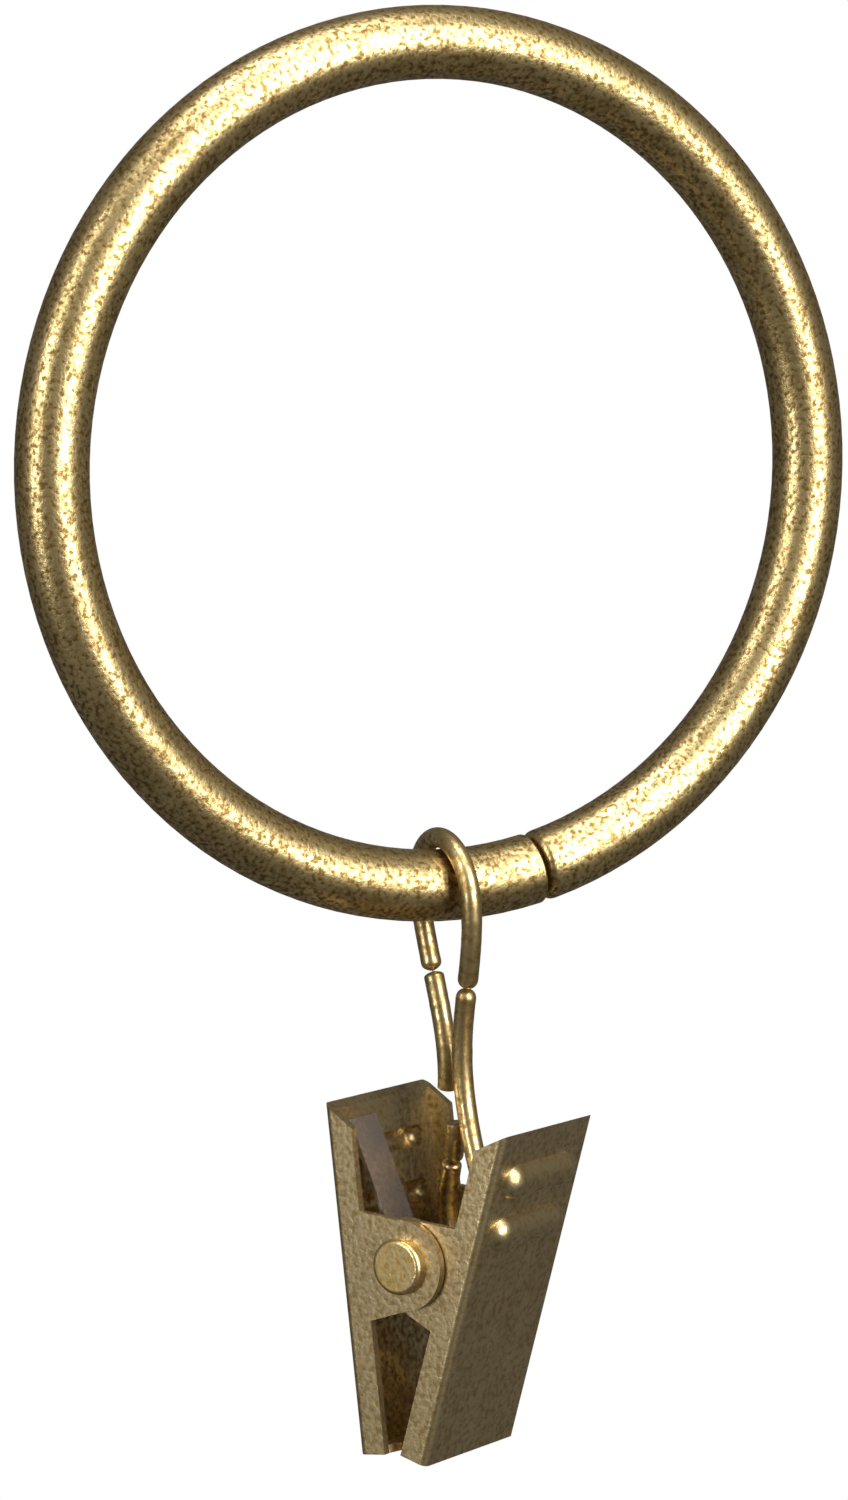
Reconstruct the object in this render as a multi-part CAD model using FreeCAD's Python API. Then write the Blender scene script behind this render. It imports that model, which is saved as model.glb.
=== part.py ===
# Curtain ring with a hanging spring clip: ring, wire hook, two stamped jaws, rivet and spring.
# Millimetres, +Z up. Origin: centre of the ring, whose axis is Y; the front is towards -Y.
import math
import os

import FreeCAD
import Part

V = FreeCAD.Vector

# ring
ring_inner_diameter = 50.2
ring_rod_diameter = 4.76
seam_from_bottom_deg = 13.5
seam_gap = 0.35
seam_soft_round = 0.6
seam_sharp_round = 0.12

# hook wire
wire_diameter = 1.35
hang_clearance = 0.1
upper_loop_radius = 3.9
lower_loop_radius = 3.4
hook_tilt_deg = 5.0
hook_drop = 25.4
neck_forward = 0.75
neck_back = 1.9
neck_drop = 11.2
upper_end_drop = 13.9
lower_end_rise = 9.9
lower_end_back = 1.0

# clip
clip_yaw_deg = 30.0
clip_hang_deg = 4.2
jaw_lean_deg = 11.3
clip_width = 12.0
sheet = 0.55
nest_clearance = 0.08
plate_from_pin = 4.9
handle_length = 10.8
grip_length = 12.45
wall_depth = 2.0
top_slope = 1.7
ear_radius = 3.0
ear_root_half = 3.6
bend_radius = 0.5
tip_gap = 0.2
tooth_count = 5
tooth_depth = 0.35
wire_from_clip_middle = 2.4

# beads pressed outwards in the handle plates
bead_drops = (3.5, 7.1)
bead_width = 2.4
bead_height = 0.85
bead_inset = 1.3

# rivet
pin_diameter = 2.0
pin_clearance = 0.05
head_diameter = 3.7
head_thickness = 0.75
peen_diameter = 3.2
peen_thickness = 0.55

# spring strip
spring_thickness = 0.27
spring_width = 3.0
spring_wall_gap = 0.5
spring_pin_gap = 0.1
spring_contact_height = 9.4
spring_plate_gap = 0.03

ring_mid_radius = (ring_inner_diameter + ring_rod_diameter) / 2
rod_radius = ring_rod_diameter / 2
wire_radius = wire_diameter / 2
pin_radius = pin_diameter / 2
hole_radius = pin_radius + pin_clearance

tube_bottom_z = -ring_mid_radius
loop_apex_z = tube_bottom_z + rod_radius + hang_clearance + wire_radius
upper_centre_z = loop_apex_z - upper_loop_radius
lower_bottom_z = tube_bottom_z - hook_drop - wire_radius
lower_centre_z = lower_bottom_z + lower_loop_radius
pin_z = lower_bottom_z + wire_radius + hang_clearance + pin_radius

front_jaw_width = clip_width - 2 * (sheet + nest_clearance)


def make_ring():
    gap_deg = math.degrees(seam_gap / ring_mid_radius)
    rod = Part.Face(Part.Wire(Part.makeCircle(rod_radius, V(0, 0, tube_bottom_z), V(1, 0, 0))))
    ring = rod.revolve(V(0, 0, 0), V(0, 1, 0), 360 - gap_deg)
    ends = [edge for edge in ring.Edges if abs(edge.Length - math.pi * ring_rod_diameter) < 0.01]
    first = [edge for edge in ends if abs(edge.CenterOfMass.x) < 0.01]
    second = [edge for edge in ends if abs(edge.CenterOfMass.x) >= 0.01]
    ring = ring.makeFillet(seam_sharp_round, first)
    second = [edge for edge in ring.Edges if any(edge.CenterOfMass.distanceToPoint(e.CenterOfMass) < 0.01
              and abs(edge.Length - e.Length) < 0.01 for e in second)]
    ring = ring.makeFillet(seam_soft_round, second)
    ring.rotate(V(0, 0, 0), V(0, 1, 0), -seam_from_bottom_deg)
    return ring


def arc_points(z, radius, start_deg, stop_deg, steps):
    points = []
    for step in range(steps + 1):
        angle = math.radians(start_deg + (stop_deg - start_deg) * step / steps)
        points.append(V(0, -radius * math.cos(angle), z + radius * math.sin(angle)))
    return points


def make_hook_wire():
    # one wire bent as an open figure of eight: the upper loop holds the ring, the lower one the rivet
    path = [V(0, neck_back, tube_bottom_z - upper_end_drop)]
    path += [V(0, neck_back + 0.2, tube_bottom_z - 0.6 * upper_end_drop)]
    path += arc_points(upper_centre_z, upper_loop_radius, 195, -15, 6)
    path += [V(0, -neck_forward, tube_bottom_z - neck_drop)]
    path += arc_points(lower_centre_z, lower_loop_radius, 40, -205, 7)
    path += [V(0, lower_end_back, lower_centre_z + lower_end_rise - lower_loop_radius)]
    curve = Part.BSplineCurve()
    curve.interpolate(path)
    spine = Part.Wire(curve.toShape())
    start_direction = curve.tangent(curve.FirstParameter)[0]
    section = Part.Wire(Part.makeCircle(wire_radius, path[0], start_direction))
    wire = spine.makePipeShell([section], True, True)
    wire.rotate(V(0, 0, tube_bottom_z), V(0, 1, 0), -hook_tilt_deg)
    return wire


def prism(points, width):
    # profile in (depth, height), made a solid across the clip and centred on its middle
    corners = [V(-width / 2, depth, height) for depth, height in points]
    face = Part.Face(Part.makePolygon(corners + corners[:1]))
    return face.extrude(V(width, 0, 0))


def cross_cylinder(radius, width, depth, height):
    return Part.makeCylinder(radius, width, V(-width / 2, depth, height), V(1, 0, 0))


def jaw_block(width, inset, plate, ear):
    # outline of a side wall: handle wall, ear round the pin, grip wall; depth 0 is the pin
    outer = plate + inset
    inner = plate + wall_depth
    points = [(outer, handle_length - inset), (inner, handle_length - top_slope)]
    points += [(inner, ear_root_half), (0, ear), (0, -ear), (inner, -ear_root_half)]
    points += [(inner, -grip_length + inset), (outer, -grip_length + inset)]
    return prism(points, width).fuse(cross_cylinder(ear, width, 0, 0))


def capsule(radius, length, depth, height):
    straight = cross_cylinder(radius, length, depth, height)
    ends = [Part.makeSphere(radius, V(side * length / 2, depth, height)) for side in (-1, 1)]
    return straight.multiFuse(ends)


def make_beads(width, plate, grow):
    radius = (bead_width ** 2 / 4 + bead_height ** 2) / (2 * bead_height)
    depth = plate - bead_height + radius
    length = width - 2 * bead_inset - bead_width
    return [capsule(radius + grow, length, depth, handle_length - drop) for drop in bead_drops]


def make_lip(width, plate):
    # tip bent inwards, its edge cut into teeth that face the other jaw
    lean = math.radians(jaw_lean_deg)
    reach = -(tip_gap / 2 + grip_length * math.sin(lean)) / math.cos(lean)
    pitch = (width - 2 * sheet) / tooth_count
    start = -(width - 2 * sheet) / 2
    bottom = -grip_length
    corners = [V(start, plate + sheet / 2, bottom)]
    for tooth in range(tooth_count):
        corners.append(V(start + tooth * pitch, reach - tooth_depth, bottom))
        corners.append(V(start + (tooth + 0.5) * pitch, reach, bottom))
    corners.append(V(start + tooth_count * pitch, reach - tooth_depth, bottom))
    corners.append(V(start + tooth_count * pitch, plate + sheet / 2, bottom))
    return Part.Face(Part.makePolygon(corners + corners[:1])).extrude(V(0, 0, sheet))


def make_jaw(width):
    # upright jaw with its plate at the front; depth runs from the plate (negative) to the pin (0)
    plate = -plate_from_pin
    block = jaw_block(width, 0, plate, ear_radius)
    corner = [edge for edge in block.Edges
              if abs(edge.CenterOfMass.y - plate) < 0.01 and abs(edge.CenterOfMass.x) > width / 2 - 0.01]
    block = block.makeFillet(bend_radius, corner)
    block = block.multiFuse(make_beads(width, plate, 0))
    hollow = prism([(plate + sheet, handle_length + 1), (ear_radius + 1, handle_length + 1),
                    (ear_radius + 1, -grip_length - 1), (plate + sheet, -grip_length - 1)], width - 2 * sheet)
    jaw = block.cut(hollow)
    for groove in make_beads(width, plate, -sheet):
        jaw = jaw.cut(groove)
    jaw = jaw.fuse(make_lip(width, plate))
    jaw = jaw.cut(cross_cylinder(hole_radius, 2 * clip_width, 0, 0))
    return jaw.removeSplitter()


def make_rear_jaw():
    jaw = make_jaw(clip_width)
    jaw.rotate(V(0, 0, 0), V(0, 0, 1), 180)
    jaw.rotate(V(0, 0, 0), V(1, 0, 0), -jaw_lean_deg)
    return jaw


def make_front_jaw():
    jaw = make_jaw(front_jaw_width)
    jaw.rotate(V(0, 0, 0), V(1, 0, 0), jaw_lean_deg)
    return jaw


def make_pivot_rivet():
    pin = Part.makeCylinder(pin_radius, clip_width, V(-clip_width / 2, 0, 0), V(1, 0, 0))
    head = Part.makeCylinder(head_diameter / 2, head_thickness, V(-clip_width / 2, 0, 0), V(-1, 0, 0))
    rim = [edge for edge in head.Edges if abs(edge.CenterOfMass.x + clip_width / 2 + head_thickness) < 0.01]
    head = head.makeFillet(0.4 * head_thickness, rim)
    peen = Part.makeCone(peen_diameter / 2, pin_radius, peen_thickness, V(clip_width / 2, 0, 0), V(1, 0, 0))
    return pin.multiFuse([head, peen]).removeSplitter()


def make_leaf_spring():
    # strip bent round the underside of the pin, one arm against each handle plate
    inner = pin_radius + spring_pin_gap
    outer = inner + spring_thickness
    lean = math.radians(jaw_lean_deg)
    contact = plate_from_pin - sheet - spring_plate_gap
    tip_depth = contact * math.cos(lean) + spring_contact_height * math.sin(lean)
    tip_height = spring_contact_height * math.cos(lean) - contact * math.sin(lean)
    reach = math.hypot(tip_depth, tip_height)
    tilt = math.atan2(tip_height, tip_depth) + math.asin(outer / reach)
    arm_length = math.sqrt(reach ** 2 - outer ** 2)
    near = -clip_width / 2 + 2 * sheet + nest_clearance + spring_wall_gap
    ring_band = Part.makeCylinder(outer, spring_width, V(near, 0, 0), V(1, 0, 0))
    bore = Part.makeCylinder(inner, spring_width, V(near, 0, 0), V(1, 0, 0))
    arms = []
    for side in (-1, 1):
        arm = Part.makeBox(spring_width, arm_length, spring_thickness, V(near, 0, -outer))
        arm.rotate(V(0, 0, 0), V(1, 0, 0), math.degrees(tilt))
        if side < 0:
            arm = arm.mirror(V(0, 0, 0), V(0, 1, 0))
        arms.append(arm)
    opening = Part.makeBox(spring_width, 4 * outer, 4 * outer, V(near, -2 * outer, 0))
    return ring_band.cut(opening).multiFuse(arms).cut(bore).removeSplitter()


def place_clip_piece(piece):
    # the pin lies in the lower loop, away from the clip's middle, and the clip is turned about the wire
    tilt = math.radians(hook_tilt_deg)
    drop = tube_bottom_z - pin_z
    piece.translate(V(-wire_from_clip_middle, 0, 0))
    piece.rotate(V(0, 0, 0), V(1, 0, 0), clip_hang_deg)
    piece.rotate(V(0, 0, 0), V(0, 0, 1), clip_yaw_deg)
    piece.translate(V(drop * math.sin(tilt), 0, tube_bottom_z - drop * math.cos(tilt)))
    return piece


pieces = {
    "ring": make_ring(),
    "hook_wire": make_hook_wire(),
    "rear_jaw": place_clip_piece(make_rear_jaw()),
    "front_jaw": place_clip_piece(make_front_jaw()),
    "pivot_rivet": place_clip_piece(make_pivot_rivet()),
    "leaf_spring": place_clip_piece(make_leaf_spring()),
}

os.makedirs("parts", exist_ok=True)
for name, shape in pieces.items():
    shape.exportStep(os.path.join("parts", name + ".step"))
    print(name, "solids", len(shape.Solids), "valid", shape.isValid(), "volume", round(shape.Volume, 2))
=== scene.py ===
import math

import bpy
from mathutils import Matrix, Vector

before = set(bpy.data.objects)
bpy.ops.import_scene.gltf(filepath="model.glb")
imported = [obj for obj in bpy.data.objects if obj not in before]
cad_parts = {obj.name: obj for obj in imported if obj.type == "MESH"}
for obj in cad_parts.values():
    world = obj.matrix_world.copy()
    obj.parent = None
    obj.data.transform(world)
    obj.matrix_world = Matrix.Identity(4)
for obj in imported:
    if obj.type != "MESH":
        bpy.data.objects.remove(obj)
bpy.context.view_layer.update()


def noise(tree, scale, detail, source):
    node = tree.nodes.new("ShaderNodeTexNoise")
    node.inputs["Scale"].default_value = scale
    node.inputs["Detail"].default_value = detail
    tree.links.new(source, node.inputs["Vector"])
    return node.outputs["Fac"]


def ramp(tree, value, stops):
    node = tree.nodes.new("ShaderNodeValToRGB")
    elements = node.color_ramp.elements
    while len(elements) < len(stops):
        elements.new(0.5)
    for element, (place, colour) in zip(elements, stops):
        element.position = place
        element.color = (*colour, 1)
    tree.links.new(value, node.inputs["Fac"])
    return node.outputs["Color"]


patina = dict(fineDetail=3, slowScale=420, slowDetail=2, wornRoughness=0.46, polishedRoughness=0.27,
              speckleBand=(0.36, 0.6), toneBand=(0.3, 0.7), toneLow=0.45, bumpDepth=0.00008)


def grey(value):
    return (value, value, value)


def antiqueGroup():
    # speckled patina on brass: fine dark stipple over a slow change of tone
    group = bpy.data.node_groups.new("antiqueBrass", "ShaderNodeTree")
    group.interface.new_socket("Dark", in_out="INPUT", socket_type="NodeSocketColor")
    group.interface.new_socket("Pale", in_out="INPUT", socket_type="NodeSocketColor")
    group.interface.new_socket("Speckle Scale", in_out="INPUT", socket_type="NodeSocketFloat")
    group.interface.new_socket("Colour", in_out="OUTPUT", socket_type="NodeSocketColor")
    group.interface.new_socket("Roughness", in_out="OUTPUT", socket_type="NodeSocketFloat")
    group.interface.new_socket("Height", in_out="OUTPUT", socket_type="NodeSocketFloat")
    nodeIn = group.nodes.new("NodeGroupInput")
    nodeOut = group.nodes.new("NodeGroupOutput")
    coords = group.nodes.new("ShaderNodeTexCoord").outputs["Object"]
    fine = group.nodes.new("ShaderNodeTexNoise")
    fine.inputs["Detail"].default_value = patina["fineDetail"]
    group.links.new(coords, fine.inputs["Vector"])
    group.links.new(nodeIn.outputs["Speckle Scale"], fine.inputs["Scale"])
    slow = noise(group, patina["slowScale"], patina["slowDetail"], coords)
    speckleLow, speckleHigh = patina["speckleBand"]
    speckle = ramp(group, fine.outputs["Fac"], [(speckleLow, grey(0)), (speckleHigh, grey(1))])
    toneStart, toneStop = patina["toneBand"]
    tone = ramp(group, slow, [(toneStart, grey(patina["toneLow"])), (toneStop, grey(1))])
    amount = group.nodes.new("ShaderNodeMath")
    amount.operation = "MULTIPLY"
    group.links.new(speckle, amount.inputs[0])
    group.links.new(tone, amount.inputs[1])
    mix = group.nodes.new("ShaderNodeMix")
    mix.data_type = "RGBA"
    group.links.new(amount.outputs[0], mix.inputs["Factor"])
    group.links.new(nodeIn.outputs["Dark"], mix.inputs[6])
    group.links.new(nodeIn.outputs["Pale"], mix.inputs[7])
    rough = group.nodes.new("ShaderNodeMapRange")
    rough.inputs["To Min"].default_value = patina["wornRoughness"]
    rough.inputs["To Max"].default_value = patina["polishedRoughness"]
    group.links.new(amount.outputs[0], rough.inputs["Value"])
    group.links.new(mix.outputs[2], nodeOut.inputs["Colour"])
    group.links.new(rough.outputs["Result"], nodeOut.inputs["Roughness"])
    group.links.new(fine.outputs["Fac"], nodeOut.inputs["Height"])
    return group


def brass(name, dark, pale, speckleScale, bump, group):
    material = bpy.data.materials.new(name)
    material.use_nodes = True
    tree = material.node_tree
    shader = tree.nodes["Principled BSDF"]
    shader.inputs["Metallic"].default_value = 1
    coat = tree.nodes.new("ShaderNodeGroup")
    coat.node_tree = group
    coat.inputs["Dark"].default_value = (*dark, 1)
    coat.inputs["Pale"].default_value = (*pale, 1)
    coat.inputs["Speckle Scale"].default_value = speckleScale
    bumpNode = tree.nodes.new("ShaderNodeBump")
    bumpNode.inputs["Strength"].default_value = bump
    bumpNode.inputs["Distance"].default_value = patina["bumpDepth"]
    tree.links.new(coat.outputs["Colour"], shader.inputs["Base Color"])
    tree.links.new(coat.outputs["Roughness"], shader.inputs["Roughness"])
    tree.links.new(coat.outputs["Height"], bumpNode.inputs["Height"])
    tree.links.new(bumpNode.outputs["Normal"], shader.inputs["Normal"])
    return material


patinaGroup = antiqueGroup()
finishes = {
    "ring": dict(dark=(0.16, 0.1, 0.03), pale=(0.82, 0.63, 0.3), speckleScale=3200, bump=0.35),
    "hook_wire": dict(dark=(0.3, 0.2, 0.07), pale=(0.82, 0.64, 0.32), speckleScale=2200, bump=0.2),
    "rear_jaw": dict(dark=(0.3, 0.21, 0.09), pale=(0.78, 0.63, 0.36), speckleScale=2600, bump=0.3),
    "front_jaw": dict(dark=(0.3, 0.21, 0.09), pale=(0.78, 0.63, 0.36), speckleScale=2600, bump=0.3),
    "pivot_rivet": dict(dark=(0.42, 0.27, 0.08), pale=(0.85, 0.68, 0.35), speckleScale=2400, bump=0.25),
    "leaf_spring": dict(dark=(0.3, 0.25, 0.22), pale=(0.66, 0.57, 0.5), speckleScale=2400, bump=0.1),
}
for node, finish in finishes.items():
    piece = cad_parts[node]
    piece.data.materials.clear()
    piece.data.materials.append(brass(node + "Finish", group=patinaGroup, **finish))
print("materials set")

# camera found from the ring's outline in the photograph
camera = dict(azimuth=-26.1, elevation=5.4, distance=0.311, focalPixels=4764,
              imageWidth=848, imageHeight=1500, ringPixel=(444.2, 466.9), sensor=36)


def direction(azimuthDeg, elevationDeg):
    a = math.radians(azimuthDeg)
    e = math.radians(elevationDeg)
    return Vector((math.sin(a) * math.cos(e), -math.cos(a) * math.cos(e), math.sin(e)))


back = direction(camera["azimuth"], camera["elevation"])
azimuth = math.radians(camera["azimuth"])
right = Vector((math.cos(azimuth), math.sin(azimuth), 0))
up = back.cross(right)
perPixel = camera["distance"] / camera["focalPixels"]
shiftRight = (camera["ringPixel"][0] - camera["imageWidth"] / 2) * perPixel
shiftDown = (camera["ringPixel"][1] - camera["imageHeight"] / 2) * perPixel
place = back * camera["distance"] - right * shiftRight + up * shiftDown
cameraData = bpy.data.cameras.new("photoCamera")
cameraData.sensor_width = camera["sensor"]
cameraData.lens = camera["focalPixels"] / camera["imageHeight"] * camera["sensor"]
cameraData.clip_start = 0.01
cameraObject = bpy.data.objects.new("photoCamera", cameraData)
cameraObject.matrix_world = Matrix.Translation(place) @ Matrix((right, up, back)).transposed().to_4x4()
bpy.context.scene.collection.objects.link(cameraObject)
bpy.context.scene.camera = cameraObject
print("camera set")


def areaLight(name, azimuthDeg, elevationDeg, distance, size, watts):
    toLight = direction(azimuthDeg, elevationDeg)
    data = bpy.data.lights.new(name, "AREA")
    data.shape = "RECTANGLE"
    data.size, data.size_y = size
    data.energy = watts
    light = bpy.data.objects.new(name, data)
    light.location = toLight * distance
    light.rotation_euler = toLight.to_track_quat("Z", "Y").to_euler()
    bpy.context.scene.collection.objects.link(light)


lights = {
    "key": dict(azimuthDeg=15, elevationDeg=20, distance=0.6, size=(0.3, 0.6), watts=7),
    "fill": dict(azimuthDeg=-75, elevationDeg=15, distance=0.6, size=(0.12, 0.6), watts=2.2),
    "top": dict(azimuthDeg=-20, elevationDeg=75, distance=0.6, size=(0.4, 0.3), watts=3),
}
for name, light in lights.items():
    areaLight(name, **light)

# white to the camera, dim to reflections, so that the rod keeps its dark edges
reflectedStrength = 0.12
world = bpy.data.worlds.new("studio")
bpy.context.scene.world = world
world.use_nodes = True
tree = world.node_tree
sky = tree.nodes["Background"]
sky.inputs["Strength"].default_value = reflectedStrength
white = tree.nodes.new("ShaderNodeBackground")
white.inputs["Color"].default_value = (1, 1, 1, 1)
path = tree.nodes.new("ShaderNodeLightPath")
blend = tree.nodes.new("ShaderNodeMixShader")
tree.links.new(path.outputs["Is Camera Ray"], blend.inputs["Fac"])
tree.links.new(sky.outputs["Background"], blend.inputs[1])
tree.links.new(white.outputs["Background"], blend.inputs[2])
tree.links.new(blend.outputs["Shader"], tree.nodes["World Output"].inputs["Surface"])
sky.inputs["Color"].default_value = (1, 0.97, 0.92, 1)
bpy.context.scene.view_settings.view_transform = "Standard"
print("light set")
